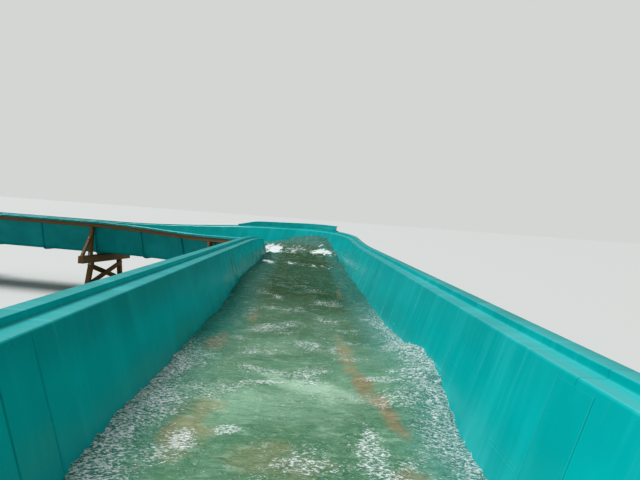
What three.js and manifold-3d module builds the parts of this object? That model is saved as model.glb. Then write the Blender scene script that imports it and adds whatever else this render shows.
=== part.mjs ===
// A length of a log flume ride: a moulded fibreglass channel that boats float along, in bolted
// sections on a low timber trestle. Three straight sections lead into a banked left-hand bend of two,
// with splash boards on its outer rim, and one more leaves it. Millimetres, +Z up, run along +Y.
import * as THREE from "three";
import { mergeVertices } from "three/addons/utils/BufferGeometryUtils.js";
import Module from "manifold-3d";

const wasm = await Module();
wasm.setup();

// The route: lengths along its middle line
const BAY = 4880;
const STRAIGHT_BAYS = 3;
const BEND_BAYS = 2;
const EXIT_BAYS = 1;
const BEND_RADIUS = 6900;
const BAY_STEPS = 8;
const STEP = BAY / BAY_STEPS;
const BEND_START = STRAIGHT_BAYS * BAY;
const BEND_END = BEND_START + BEND_BAYS * BAY;
const BAYS = STRAIGHT_BAYS + BEND_BAYS + EXIT_BAYS;
const ROUTE_END = BAYS * BAY;

// The bend falls a little, and its outer side is raised
const FALL = 180;
const BANK_RISE = 165;
const BANK_START = BEND_START - 4 * STEP;
const BANK_FULL = BEND_START + 6 * STEP;
const BANK_EASE = BEND_END - 8 * STEP;

// The channel's section, from its inside floor up
const SHELL = 10;
const RIM_HALF = 975;
const LEDGE_OUTER = 889;
const LEDGE_INNER = 803;
const LEDGE_HEIGHT = 848;
const RIM_HEIGHT = 878;
const WALL_SLOPE = 0.299;
const CORNER_RADIUS = 150;
const CORNER_SEGMENTS = 4;
const DRAFT = 3;
const LIP_DEPTH = 55;

// Ribs on the outside of the shell
const RIB_DEPTH = 60;
const RIB_PLATE = 12;
const STIFFENER_DEPTH = 35;
const STIFFENER_WIDTH = 50;

// Splash boards on the bend's outer rim, with their ends counted in steps from the bend's start. The
// last board gets lower over its last step
const BOARD_STEPS = [3, 7, 10];
const BOARD_DROP = 80;
const BOARD_HEIGHT = 115;
const BOARD_THICK = 8;
const BOARD_FOOT = 62;
const BOARD_LIP = 34;

// Timber
const STRINGER_WIDE = 50;
const STRINGER_DEEP = 145;
const CAP_HALF = 1450;
const CAP_PARTS = 10;
const CAP_DEEP = 200;
const CAP_WIDE = 150;
const FRAME_WIDE = 100;
const UPRIGHT_INNER = 880;
const UPRIGHT_OUTER = 980;
const STRUT_FOOT = 1340;
const STRUT_HEAD = 470;
const STRUT_WIDE = 95;
const NOTCH = 10;
const LEG_WIDE = 120;
const LEG_TOP = 850;
const LEG_FOOT = 1010;
const BRACE_DEEP = 140;
const BRACE_THICK = 40;

// Concrete sills on the ground, which lies this far below the channel's floor
const GROUND = -1300;
const SILL_DEEP = 180;
const SILL_HALF = 1300;
const SILL_WIDE = 350;
const SILL_CHAMFER = 30;

// Clearances between neighbours that bear on each other
const GAP = 0.3;
const SEAT = 0.9;

const RIB_BOTTOM = -SHELL - RIB_DEPTH;
const CAP_TOP = RIB_BOTTOM - SEAT;
const CAP_BOTTOM = CAP_TOP - CAP_DEEP;
const LEGS_TOP = CAP_BOTTOM - SEAT;
const SILL_TOP = GROUND + SILL_DEEP;
const LEGS_BOTTOM = SILL_TOP + GAP;
const END_BENT_INSET = CAP_WIDE / 2 + RIB_PLATE / 2;

const gelcoat = new THREE.MeshStandardMaterial({ color: 0x10a5a3, roughness: 0.3, metalness: 0 });
const timber = new THREE.MeshStandardMaterial({ color: 0x7d6650, roughness: 0.85, metalness: 0 });
const concrete = new THREE.MeshStandardMaterial({ color: 0xa3a098, roughness: 0.9, metalness: 0 });

// How much a point is lifted by the fall and the banking, at a station and a distance across
function lift(station, across) {
  const ease = THREE.MathUtils.smoothstep;
  const fall = FALL * ease(station, BEND_START, BEND_END);
  const bank = BANK_RISE * (ease(station, BANK_START, BANK_FULL) - ease(station, BANK_EASE, BEND_END));
  return (bank * across) / RIM_HALF - fall;
}

const BEND_CENTRE = new THREE.Vector2(-BEND_RADIUS, BEND_START);

// The point in plan at a station along the route and a distance to the outer side of it
function planPoint(station, across) {
  if (station <= BEND_START) return new THREE.Vector2(across, station);
  const turn = (Math.min(station, BEND_END) - BEND_START) / BEND_RADIUS;
  const outward = new THREE.Vector2(Math.cos(turn), Math.sin(turn));
  const onward = new THREE.Vector2(-outward.y, outward.x);
  return BEND_CENTRE.clone()
    .addScaledVector(outward, BEND_RADIUS + across)
    .addScaledVector(onward, Math.max(station - BEND_END, 0));
}

// The station and the distance across of a point in plan
function routePoint(plan) {
  if (plan.y <= BEND_START) return { station: plan.y, across: plan.x };
  const fromCentre = plan.clone().sub(BEND_CENTRE);
  const turn = (BEND_END - BEND_START) / BEND_RADIUS;
  if (fromCentre.angle() <= turn) {
    const across = fromCentre.length() - BEND_RADIUS;
    return { station: BEND_START + BEND_RADIUS * fromCentre.angle(), across };
  }
  fromCentre.rotateAround(new THREE.Vector2(), -turn);
  return { station: BEND_END + fromCentre.y, across: fromCentre.x - BEND_RADIUS };
}

// A section (x across, y up) extruded, with each of its points moved by toWorld(across, up, along)
function extruded(shape, length, steps, toWorld) {
  const soup = new THREE.ExtrudeGeometry(shape, { depth: length, steps, bevelEnabled: false });
  soup.deleteAttribute("normal");
  soup.deleteAttribute("uv");
  const geometry = mergeVertices(soup, 1e-3);
  const at = geometry.getAttribute("position");
  for (let i = 0; i < at.count; i += 1) {
    const world = toWorld(at.getX(i), at.getY(i), at.getZ(i));
    at.setXYZ(i, world.x, world.y, world.z);
  }
  geometry.index.array.reverse(); // across, up, along is a left-handed order
  return geometry;
}

// A piece that follows the route between two stations, with half a gap left at each of its ends.
// Its heights can change along it
function swept(shape, from, to, steps, heightAt = (up) => up) {
  return extruded(shape, to - from, steps, (across, up, along) => {
    const station = THREE.MathUtils.clamp(from + along, from + GAP / 2, to - GAP / 2);
    const plan = planPoint(station, across);
    return new THREE.Vector3(plan.x, plan.y, heightAt(up, station) + lift(station, across));
  });
}

// A flat timber or sill square across the route, its middle at a station. Its foot stays level
// below the height given as footing, and its head follows the channel above the height given as head.
function crosswise(shape, station, thick, footing, head, offset = 0) {
  const before = planPoint(station - 1, 0);
  const heading = planPoint(station + 1, 0).sub(before).normalize();
  const middle = planPoint(station, 0);
  return extruded(shape, thick, 1, (across, up, along) => {
    const ahead = along - thick / 2 + offset;
    const plan = new THREE.Vector2(
      middle.x + across * heading.y + ahead * heading.x,
      middle.y - across * heading.x + ahead * heading.y,
    );
    const route = routePoint(plan);
    const share = THREE.MathUtils.clamp((up - footing) / (head - footing), 0, 1);
    return new THREE.Vector3(plan.x, plan.y, up + share * lift(route.station, route.across));
  });
}

function solidOf(geometry) {
  return new wasm.Manifold(
    new wasm.Mesh({
      numProp: 3,
      vertProperties: geometry.getAttribute("position").array,
      triVerts: new Uint32Array(geometry.index.array),
    }),
  );
}

// Several geometries that run into each other, joined as one
function joined(...geometries) {
  const mesh = geometries.map(solidOf).reduce((whole, piece) => whole.add(piece)).getMesh();
  const geometry = new THREE.BufferGeometry();
  geometry.setAttribute("position", new THREE.BufferAttribute(mesh.vertProperties, 3));
  geometry.setIndex(new THREE.BufferAttribute(mesh.triVerts, 1));
  return geometry;
}

function polygon(...corners) {
  return new THREE.Shape(corners.map(([x, y]) => new THREE.Vector2(x, y)));
}

const rectangle = (left, right, bottom, top) =>
  polygon([left, bottom], [right, bottom], [right, top], [left, top]);

const WALL_ANGLE = Math.atan(WALL_SLOPE);
const WALL_FOOT = LEDGE_INNER - WALL_SLOPE * LEDGE_HEIGHT;
const CORNER_CENTRE = WALL_FOOT - CORNER_RADIUS * Math.tan((Math.PI / 2 - WALL_ANGLE) / 2);

// Half of the channel's floor and wall, that far outside its wet face, up to a height
function halfWall(outside, top) {
  const corner = new THREE.Path().absarc(
    CORNER_CENTRE, CORNER_RADIUS, CORNER_RADIUS + outside, -Math.PI / 2, -WALL_ANGLE, false,
  );
  const wallTop = WALL_FOOT + WALL_SLOPE * top + outside / Math.cos(WALL_ANGLE);
  return [...corner.getPoints(CORNER_SEGMENTS), new THREE.Vector2(wallTop, top)];
}

// A whole outline from the right half of its outside and of its inside, both from the floor up
function mirrored(outside, inside) {
  const flip = (points) => points.map((p) => new THREE.Vector2(-p.x, p.y)).reverse();
  return new THREE.Shape([...flip(outside), ...outside, ...[...inside].reverse(), ...flip(inside).reverse()]);
}

// The shell: floor, sloping walls, a ledge, a riser, a flat rim and its turned-down lip
function channelSection() {
  const points = (...list) => list.map(([x, y]) => new THREE.Vector2(x, y));
  const inside = [
    ...halfWall(0, LEDGE_HEIGHT),
    ...points(
      [LEDGE_OUTER, LEDGE_HEIGHT],
      [LEDGE_OUTER + DRAFT, RIM_HEIGHT],
      [RIM_HALF, RIM_HEIGHT],
      [RIM_HALF + DRAFT, RIM_HEIGHT - LIP_DEPTH],
    ),
  ];
  const outside = [
    ...halfWall(SHELL, LEDGE_HEIGHT - SHELL),
    ...points(
      [LEDGE_OUTER + SHELL, LEDGE_HEIGHT - SHELL],
      [LEDGE_OUTER + SHELL + DRAFT, RIM_HEIGHT - SHELL],
      [RIM_HALF - SHELL, RIM_HEIGHT - SHELL],
      [RIM_HALF + DRAFT - SHELL, RIM_HEIGHT - LIP_DEPTH],
    ),
  ];
  return mirrored(outside, inside);
}

// A rib round the outside of the shell, from within its thickness out to its depth
function ribSection(depth) {
  const top = LEDGE_HEIGHT - SHELL / 2;
  return mirrored(halfWall(SHELL + depth, top), halfWall(SHELL / 2, top));
}

// One moulded section: the shell, a bolting rib at each end and two stiffeners between
function channel(from, to, steps) {
  const third = (to - from) / 3;
  const flange = ribSection(RIB_DEPTH);
  const stiffener = ribSection(STIFFENER_DEPTH);
  const stiffenerAt = (middle) =>
    swept(stiffener, middle - STIFFENER_WIDTH / 2, middle + STIFFENER_WIDTH / 2, 1);
  return joined(
    swept(channelSection(), from, to, steps),
    swept(flange, from, from + RIB_PLATE, 1),
    swept(flange, to - RIB_PLATE, to, 1),
    stiffenerAt(from + third),
    stiffenerAt(to - third),
  );
}

// A splash board: a foot on the flat rim, an upstand, and a lip turned out along its top. Over one
// step beyond the given station, all above its foot gets lower
function splashBoard(from, to, steps, dropStart) {
  const foot = RIM_HEIGHT + SEAT;
  const top = foot + BOARD_HEIGHT;
  const back = RIM_HALF - BOARD_FOOT;
  const section = polygon(
    [back, foot],
    [RIM_HALF, foot],
    [RIM_HALF, foot + BOARD_THICK],
    [back + BOARD_THICK, foot + BOARD_THICK],
    [back + BOARD_THICK, top - BOARD_THICK],
    [back + BOARD_LIP, top - BOARD_THICK],
    [back + BOARD_LIP, top],
    [back, top],
  );
  return swept(section, from, to, steps, (up, station) => {
    const share = Math.max(station - dropStart, 0) / STEP;
    return up > foot + BOARD_THICK ? up - BOARD_DROP * share : up;
  });
}

// A plank on edge under the rim, behind its lip. Side is 1 on the bend's outer side, -1 on its inner
function stringer(side, from, to, steps) {
  const cavity = (LEDGE_OUTER + SHELL + DRAFT + RIM_HALF - SHELL) / 2;
  const top = RIM_HEIGHT - SHELL - SEAT;
  const middle = side * cavity;
  const section = rectangle(middle - STRINGER_WIDE / 2, middle + STRINGER_WIDE / 2, top - STRINGER_DEEP, top);
  return swept(section, from, to, steps);
}

// The cap beam under the channel, with an upright each side for the stringers and its outrigger
function yoke(station) {
  const uprightTop = RIM_HEIGHT - SHELL - STRINGER_DEEP - 2 * SEAT;
  const wood = (shape, thick) => crosswise(shape, station, thick, GROUND, CAP_BOTTOM);
  const along = Array.from({ length: CAP_PARTS + 1 }, (_, i) => CAP_HALF * ((2 * i) / CAP_PARTS - 1));
  const underside = along.map((across) => [across, CAP_BOTTOM]);
  const topside = along.map((across) => [across, CAP_TOP]).reverse();
  const pieces = [wood(polygon(...underside, ...topside), CAP_WIDE)];
  for (const side of [-1, 1]) {
    const upright = [side * UPRIGHT_INNER, side * UPRIGHT_OUTER].sort((a, b) => a - b);
    pieces.push(wood(rectangle(...upright, CAP_TOP - NOTCH, uprightTop), FRAME_WIDE));
    const strut = [
      [side * STRUT_FOOT, CAP_TOP - NOTCH],
      [side * (STRUT_FOOT + STRUT_WIDE), CAP_TOP - NOTCH],
      [side * (UPRIGHT_OUTER - NOTCH), STRUT_HEAD + STRUT_WIDE],
      [side * (UPRIGHT_OUTER - NOTCH), STRUT_HEAD - STRUT_WIDE / 2],
    ];
    pieces.push(wood(polygon(...(side > 0 ? strut : strut.reverse())), FRAME_WIDE - 2 * NOTCH));
  }
  return joined(...pieces);
}

// Two raking legs under the cap beam, with a cross brace notched into their front and back
function legs(station) {
  const wood = (shape, thick, offset) =>
    crosswise(shape, station, thick, SILL_TOP, CAP_BOTTOM, offset);
  const leg = (side) =>
    polygon(
      [side * LEG_FOOT - LEG_WIDE / 2, LEGS_BOTTOM],
      [side * LEG_FOOT + LEG_WIDE / 2, LEGS_BOTTOM],
      [side * LEG_TOP + LEG_WIDE / 2, LEGS_TOP],
      [side * LEG_TOP - LEG_WIDE / 2, LEGS_TOP],
    );
  const brace = (side) => {
    const low = LEGS_BOTTOM + BRACE_DEEP / 2;
    const high = LEGS_TOP - BRACE_DEEP / 2;
    const corners = [
      [-side * LEG_FOOT, low - BRACE_DEEP / 4],
      [side * LEG_TOP, high - 3 * BRACE_DEEP / 4],
      [side * LEG_TOP, high + BRACE_DEEP / 4],
      [-side * LEG_FOOT, low + 3 * BRACE_DEEP / 4],
    ];
    return polygon(...(side > 0 ? corners : corners.reverse()));
  };
  const bracing = (LEG_WIDE + BRACE_THICK) / 2 - NOTCH;
  return joined(
    wood(leg(-1), LEG_WIDE, 0),
    wood(leg(1), LEG_WIDE, 0),
    wood(brace(1), BRACE_THICK, -bracing),
    wood(brace(-1), BRACE_THICK, bracing),
  );
}

// A concrete sleeper on the ground under a pair of legs
function sill(station) {
  const section = polygon(
    [-SILL_HALF, GROUND],
    [SILL_HALF, GROUND],
    [SILL_HALF, SILL_TOP - SILL_CHAMFER],
    [SILL_HALF - SILL_CHAMFER, SILL_TOP],
    [SILL_CHAMFER - SILL_HALF, SILL_TOP],
    [-SILL_HALF, SILL_TOP - SILL_CHAMFER],
  );
  return crosswise(section, station, SILL_WIDE, SILL_TOP, CAP_BOTTOM);
}

const ride = new THREE.Group();

function add(name, geometry, material) {
  const mesh = new THREE.Mesh(geometry, material);
  mesh.name = name;
  ride.add(mesh);
}

// Each bay is one moulded section of channel with a plank under each of its rims. Pieces follow the
// route in short steps where it turns or twists, and in one step where it is straight
for (let bay = 0; bay < BAYS; bay += 1) {
  const [from, to] = [bay * BAY, (bay + 1) * BAY];
  const steps = to > BANK_START && from < BEND_END ? BAY_STEPS : 1;
  add(`channel_${bay + 1}`, channel(from, to, steps), gelcoat);
  add(`left_stringer_${bay + 1}`, stringer(-1, from, to, steps), timber);
  add(`right_stringer_${bay + 1}`, stringer(1, from, to, steps), timber);
}

const boardEnds = BOARD_STEPS.map((steps) => BEND_START + steps * STEP);
const dropStart = boardEnds.at(-1) - STEP;
BOARD_STEPS.slice(1).forEach((end, i) => {
  const steps = end - BOARD_STEPS[i];
  const board = splashBoard(boardEnds[i], boardEnds[i + 1], steps, dropStart);
  add(`splash_board_${i + 1}`, board, gelcoat);
});

// A trestle bent under every joint between sections, and one just inside each open end
for (let joint = 0; joint <= BAYS; joint += 1) {
  const station = THREE.MathUtils.clamp(joint * BAY, END_BENT_INSET, ROUTE_END - END_BENT_INSET);
  add(`yoke_${joint + 1}`, yoke(station), timber);
  add(`legs_${joint + 1}`, legs(station), timber);
  add(`sill_${joint + 1}`, sill(station), concrete);
}

// The part's origin is the middle of its footprint, on the ground
const box = new THREE.Box3().setFromObject(ride);
const centre = box.getCenter(new THREE.Vector3());
ride.children.forEach((mesh) => mesh.position.set(-centre.x, -centre.y, -box.min.z));

export default ride;
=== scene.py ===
import math

import bmesh
import bpy
import numpy as np
from mathutils import Matrix, Vector


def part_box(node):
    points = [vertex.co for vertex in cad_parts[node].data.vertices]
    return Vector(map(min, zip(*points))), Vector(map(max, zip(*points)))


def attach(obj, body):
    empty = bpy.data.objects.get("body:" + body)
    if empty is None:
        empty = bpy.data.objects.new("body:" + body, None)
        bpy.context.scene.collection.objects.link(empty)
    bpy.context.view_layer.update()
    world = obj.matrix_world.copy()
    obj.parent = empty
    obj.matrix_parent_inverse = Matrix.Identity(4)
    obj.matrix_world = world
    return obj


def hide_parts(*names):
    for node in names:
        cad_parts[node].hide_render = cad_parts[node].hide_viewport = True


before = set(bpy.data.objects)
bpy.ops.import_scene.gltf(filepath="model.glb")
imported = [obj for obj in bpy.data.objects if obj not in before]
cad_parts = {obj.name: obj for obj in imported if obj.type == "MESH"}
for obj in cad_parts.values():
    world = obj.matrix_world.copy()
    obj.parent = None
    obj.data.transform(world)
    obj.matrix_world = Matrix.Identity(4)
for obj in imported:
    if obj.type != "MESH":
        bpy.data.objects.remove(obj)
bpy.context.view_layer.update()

# The camera
# It stands over the first section, a little above the rims, and looks down the straight run. It is
# turned, tipped and rolled by a few degrees.
FRAME_WIDTH_PX = 640
FOCAL_PX = 620
SENSOR_MM = 36.0
EYE_BEFORE_JOINT = 1.74
EYE_OVER_RIM = 0.366
EYE_YAW = math.radians(1.28)
EYE_PITCH = math.radians(1.97)
EYE_ROLL = math.radians(4.27)

joint_low, joint_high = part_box("channel_2")
ahead = Vector((
    math.sin(EYE_YAW) * math.cos(EYE_PITCH),
    math.cos(EYE_YAW) * math.cos(EYE_PITCH),
    -math.sin(EYE_PITCH),
))
level_right = Vector((math.cos(EYE_YAW), -math.sin(EYE_YAW), 0))
level_up = level_right.cross(ahead)
eye_right = math.cos(EYE_ROLL) * level_right + math.sin(EYE_ROLL) * level_up
eye_up = math.cos(EYE_ROLL) * level_up - math.sin(EYE_ROLL) * level_right
eye = Vector((
    (joint_low.x + joint_high.x) / 2,
    joint_low.y - EYE_BEFORE_JOINT,
    joint_high.z + EYE_OVER_RIM,
))
camera = bpy.data.objects.new("rider_view", bpy.data.cameras.new("rider_view"))
camera.data.sensor_width = SENSOR_MM
camera.data.lens = FOCAL_PX / FRAME_WIDTH_PX * SENSOR_MM
camera.matrix_world = Matrix.Translation(eye) @ Matrix((eye_right, eye_up, -ahead)).transposed().to_4x4()
bpy.context.scene.collection.objects.link(camera)
bpy.context.scene.camera = camera

# The channel
# Sections of fibreglass laminate, laid up in a mould: glossy turquoise gelcoat on the wet side and
# rough laminate outside. Each has sloping walls, a ledge, a riser, a flat rim and a turned-down lip.
BAY = 4.88
BAYS = 6
BEND_RADIUS = 6.9
BEND_START = 3 * BAY
BEND_END = 5 * BAY
ROUTE_END = BAYS * BAY
FALL = 0.18
BANK_RISE = 0.165
STEP = BAY / 8
BANK_START = BEND_START - 4 * STEP
BANK_FULL = BEND_START + 6 * STEP
BANK_EASE = BEND_END - 8 * STEP
SHELL = 0.010
RIM_HALF = 0.975
RIM_HEIGHT = 0.878
LEDGE_OUTER = 0.889
LEDGE_INNER = 0.803
LEDGE_HEIGHT = 0.848
WALL_SLOPE = 0.299
CORNER_RADIUS = 0.15
DRAFT = 0.003
LIP_DEPTH = 0.055
RIB_DEPTH = 0.060
JOINT_GAP = 0.0015
LEDGE_ROUND = 0.014
LEDGE_HOLLOW = 0.008
RISER_ROUND = 0.007
RIM_ROUND = 0.013
RIM_HOLLOW = 0.004
LIP_EDGE = 0.003
BACK_ROUND = 0.006
BACK_HOLLOW = 0.012
SMALL_RADIUS = 0.05
SMALL_ARC_STEP = math.radians(15)
ARC_STEP = math.radians(7)
NEARLY_STRAIGHT = math.radians(178)
SHARP_EDGE = math.radians(38)
SHELL_STEP = 0.10

wall_lean = math.sqrt(1 + WALL_SLOPE**2)
wall_foot = LEDGE_INNER - WALL_SLOPE * LEDGE_HEIGHT
route_x = (joint_low.x + joint_high.x) / 2
route_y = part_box("channel_1")[0].y
floor_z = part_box("channel_1")[0].z + RIB_DEPTH + SHELL


def ease(at, start, end):
    share = np.clip((at - start) / (end - start), 0, 1)
    return share * share * (3 - 2 * share)


def bank(station):
    return BANK_RISE * (ease(station, BANK_START, BANK_FULL) - ease(station, BANK_EASE, BEND_END))


def laid(station, across, height):
    """Points in the row frame from their place along, across and above the channel's floor."""
    station, across, height = np.broadcast_arrays(station, across, height)
    turn = (np.clip(station, BEND_START, BEND_END) - BEND_START) / BEND_RADIUS
    beyond = np.maximum(station - BEND_END, 0)
    reach = BEND_RADIUS + across
    x = reach * np.cos(turn) - BEND_RADIUS - beyond * np.sin(turn)
    y = BEND_START + reach * np.sin(turn) + beyond * np.cos(turn)
    y = np.where(station < BEND_START, station, y)
    lift = bank(station) * across / RIM_HALF - FALL * ease(station, BEND_START, BEND_END)
    return np.stack([x + route_x, y + route_y, height + lift + floor_z], axis=-1)


def rounded(corners):
    """A closed outline from (across, height, radius, kind) corners: its points and its edges' kinds."""
    points, kinds = [], []
    for i, (x, y, radius, kind) in enumerate(corners):
        here = Vector((x, y))
        before = (Vector(corners[i - 1][:2]) - here).normalized()
        after = (Vector(corners[(i + 1) % len(corners)][:2]) - here).normalized()
        opening = before.angle(after, math.pi)
        if radius == 0 or opening > NEARLY_STRAIGHT:
            points.append((x, y))
            kinds.append(kind)
            continue
        centre = here + (before + after).normalized() * (radius / math.sin(opening / 2))
        reach = radius / math.tan(opening / 2)
        start, end = here + before * reach - centre, here + after * reach - centre
        turn = math.atan2(start.x * end.y - start.y * end.x, start.dot(end))
        segments = max(2, math.ceil(abs(turn) / (SMALL_ARC_STEP if radius < SMALL_RADIUS else ARC_STEP)))
        for k in range(segments + 1):
            part = turn * k / segments
            points.append((
                centre.x + start.x * math.cos(part) - start.y * math.sin(part),
                centre.y + start.x * math.sin(part) + start.y * math.cos(part),
            ))
            kinds.append(kind)
    return np.array(points), kinds


def skinned(rings, marks, kinds=None):
    """A closed solid through rings of points, with a flat face at both ends. Marks place its grain."""
    count, around = rings.shape[:2]
    kinds = kinds or [0] * around
    faces, face_kinds = [], []
    for low in range(0, (count - 1) * around, around):
        for i in range(around):
            j = (i + 1) % around
            faces.append((low + i, low + j, low + around + j, low + around + i))
        face_kinds += kinds
    faces += [tuple(range(around)), tuple(range((count - 1) * around, count * around))]
    return rings.reshape(-1, 3), faces, marks.reshape(-1, 3), face_kinds + [kinds[-1]] * 2


def sweep(corners, stations):
    """A closed solid that carries an outline along the route. Marks: station, distance round, height."""
    outline, kinds = rounded(corners)
    across, height = outline.T
    girth = np.cumsum(np.hypot(np.diff(across, prepend=across[0]), np.diff(height, prepend=height[0])))
    stations = np.asarray(stations, float)[:, None]
    marks = np.stack(np.broadcast_arrays(stations, girth, height), axis=-1)
    return skinned(laid(stations, across, height), marks, kinds)


def piece(name, solids, materials, replaced=()):
    """One mesh object from several closed solids. It rides on the only body of the ride."""
    faces, kinds, base = [], [], 0
    for points, solid_faces, _, solid_kinds in solids:
        faces += [tuple(base + i for i in face) for face in solid_faces]
        kinds += solid_kinds
        base += len(points)
    mesh = bpy.data.meshes.new(name)
    mesh.from_pydata(np.concatenate([solid[0] for solid in solids]).tolist(), [], faces)
    marks = np.concatenate([solid[2] for solid in solids]).ravel()
    mesh.attributes.new("lay", "FLOAT_VECTOR", "POINT").data.foreach_set("vector", marks)
    mesh.polygons.foreach_set("material_index", kinds)
    for material in materials:
        mesh.materials.append(material)
    shape = bmesh.new()
    shape.from_mesh(mesh)
    bmesh.ops.recalc_face_normals(shape, faces=shape.faces)
    shape.to_mesh(mesh)
    shape.free()
    mesh.polygons.foreach_set("use_smooth", [True] * len(mesh.polygons))
    mesh.set_sharp_from_angle(angle=SHARP_EDGE)
    made = bpy.data.objects.new(name, mesh)
    bpy.context.scene.collection.objects.link(made)
    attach(made, "root")
    if replaced:
        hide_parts(*replaced)


def node(tree, kind, inputs=None, **settings):
    """A shader node with its settings. Each input is linked where its value is another's output."""
    made = tree.nodes.new(kind)
    for key, value in settings.items():
        setattr(made, key, value)
    for key, value in (inputs or {}).items():
        if isinstance(value, bpy.types.NodeSocket):
            tree.links.new(value, made.inputs[key])
        else:
            made.inputs[key].default_value = value
    return made


def maths(tree, operation, first, second=0.0):
    return node(tree, "ShaderNodeMath", {0: first, 1: second}, operation=operation).outputs[0]


def times(tree, first, second):
    return maths(tree, "MULTIPLY", first, second)


def plus(tree, first, second):
    return maths(tree, "ADD", first, second)


def split(tree, vector):
    """The X, Y and Z outputs of a vector."""
    return node(tree, "ShaderNodeSeparateXYZ", {"Vector": vector}).outputs


def mapped(tree, value, low, high, to_low=0.0, to_high=1.0):
    inputs = {"Value": value, "From Min": low, "From Max": high, "To Min": to_low, "To Max": to_high}
    return node(tree, "ShaderNodeMapRange", inputs).outputs["Result"]


def mixed(tree, factor, first, second):
    return node(tree, "ShaderNodeMix", {0: factor, 6: first, 7: second}, data_type="RGBA").outputs[2]


def tinted(tree, colour, where, share, shade):
    """The colour turned to a shade by a share of a mask."""
    return mixed(tree, times(tree, where, share), colour, shade)


def new_group(name, inputs):
    """A shader node group that puts out a mask: the group, its inputs and its output."""
    group = bpy.data.node_groups.new(name, "ShaderNodeTree")
    for socket, kind, value in inputs:
        made = group.interface.new_socket(socket, in_out="INPUT", socket_type=kind)
        if value is not None:
            made.default_value = value
    group.interface.new_socket("Mask", in_out="OUTPUT", socket_type="NodeSocketFloat")
    inside = group.nodes.new("NodeGroupInput").outputs
    return group, inside, group.nodes.new("NodeGroupOutput").inputs["Mask"]


def mask(tree, group, **inputs):
    return node(tree, "ShaderNodeGroup", inputs, node_tree=group).outputs["Mask"]


# Soft uneven areas for fading, damp and stains
patches, inside, outside = new_group("patches", [
    ("Place", "NodeSocketVector", None), ("Size", "NodeSocketFloat", 1.0),
    ("Low", "NodeSocketFloat", 0.4), ("High", "NodeSocketFloat", 0.6),
])
cloud = node(patches, "ShaderNodeTexNoise", {
    "Vector": inside["Place"], "Scale": maths(patches, "DIVIDE", 1.0, inside["Size"]),
    "Detail": 4.0, "Roughness": 0.58,
}).outputs["Fac"]
patches.links.new(mapped(patches, cloud, inside["Low"], inside["High"]), outside)

# Long thin marks, drawn out where the stretch is small
runs, inside, outside = new_group("runs", [
    ("Place", "NodeSocketVector", None), ("Stretch", "NodeSocketVector", (1.0, 1.0, 1.0)),
    ("Low", "NodeSocketFloat", 0.5), ("High", "NodeSocketFloat", 0.7), ("Wander", "NodeSocketFloat", 0.3),
])
stretched = node(runs, "ShaderNodeVectorMath", {
    0: inside["Place"], 1: inside["Stretch"],
}, operation="MULTIPLY")
streak = node(runs, "ShaderNodeTexNoise", {
    "Vector": stretched.outputs["Vector"], "Scale": 1.0, "Detail": 4.0, "Roughness": 0.6,
    "Distortion": inside["Wander"],
}).outputs["Fac"]
runs.links.new(mapped(runs, streak, inside["Low"], inside["High"]), outside)


def new_material(name):
    """A material with its tree, its shader and the marks that its pieces carry."""
    material = bpy.data.materials.new(name)
    material.use_nodes = True
    tree = material.node_tree
    place = node(tree, "ShaderNodeAttribute", attribute_name="lay").outputs["Vector"]
    return material, tree, tree.nodes["Principled BSDF"], place


def bumped(tree, shader, height, strength, distance):
    bump = node(tree, "ShaderNodeBump", {"Height": height, "Strength": strength, "Distance": distance})
    tree.links.new(bump.outputs["Normal"], shader.inputs["Normal"])


def finished(tree, shader, colour, roughness):
    tree.links.new(colour, shader.inputs["Base Color"])
    tree.links.new(roughness, shader.inputs["Roughness"])


GELCOAT = (0.003, 0.330, 0.335, 1)
GELCOAT_FADED = (0.006, 0.415, 0.420, 1)
BROAD_DRIP = (0.05, 0.56, 0.57, 1)
DRIP = (0.10, 0.60, 0.60, 1)
FINE_DRIP = (0.30, 0.70, 0.70, 1)
SCUFF = (0.22, 0.55, 0.54, 1)
PALE_TOPS = (0.20, 0.62, 0.63, 1)
SLIME = (0.035, 0.19, 0.12, 1)
RUB_LOW = (0.44, 0.48)
RUB_HIGH = (0.66, 0.50)
SLIME_TOP = (0.42, 0.36)

gelcoat, tree, shader, place = new_material("turquoise_gelcoat")
height = split(tree, place)["Z"]
fade = mask(tree, patches, Place=place, Size=1.3, Low=0.35, High=0.68)
drips = mask(tree, runs, Place=place, Stretch=(9.0, 0.7, 0.7), Low=0.52, High=0.74, Wander=0.35)
fine_drips = mask(tree, runs, Place=place, Stretch=(34.0, 1.6, 1.6), Low=0.55, High=0.75, Wander=0.2)
broad_drips = mask(tree, runs, Place=place, Stretch=(3.4, 0.45, 0.45), Low=0.50, High=0.70, Wander=0.4)
scuffs = mask(tree, runs, Place=place, Stretch=(1.1, 60.0, 60.0), Low=0.60, High=0.72, Wander=0.1)
rub_band = times(tree, mapped(tree, height, *RUB_LOW), mapped(tree, height, *RUB_HIGH))
scuffed = times(tree, scuffs, rub_band)
facing = node(tree, "ShaderNodeNewGeometry").outputs["Normal"]
looks_up = mapped(tree, split(tree, facing)["Z"], 0.80, 0.97)
# The up-facing rims and ledges high on the section are drawn paler.
pale_tops = times(tree, looks_up, mapped(tree, height, 0.60, 0.80))
colour = mixed(tree, fade, GELCOAT, GELCOAT_FADED)
colour = tinted(tree, colour, broad_drips, 0.32, BROAD_DRIP)
colour = tinted(tree, colour, drips, 0.20, DRIP)
colour = tinted(tree, colour, fine_drips, 0.10, FINE_DRIP)
colour = tinted(tree, colour, scuffed, 0.14, SCUFF)
colour = tinted(tree, colour, pale_tops, 0.30, PALE_TOPS)
colour = tinted(tree, colour, mapped(tree, height, *SLIME_TOP), 0.55, SLIME)
worn = plus(tree, times(tree, drips, 0.10), times(tree, scuffed, 0.12))
finished(tree, shader, colour, plus(tree, worn, 0.20))
waves = node(tree, "ShaderNodeTexNoise", {"Vector": place, "Scale": 2.2, "Detail": 1.0}).outputs["Fac"]
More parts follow.
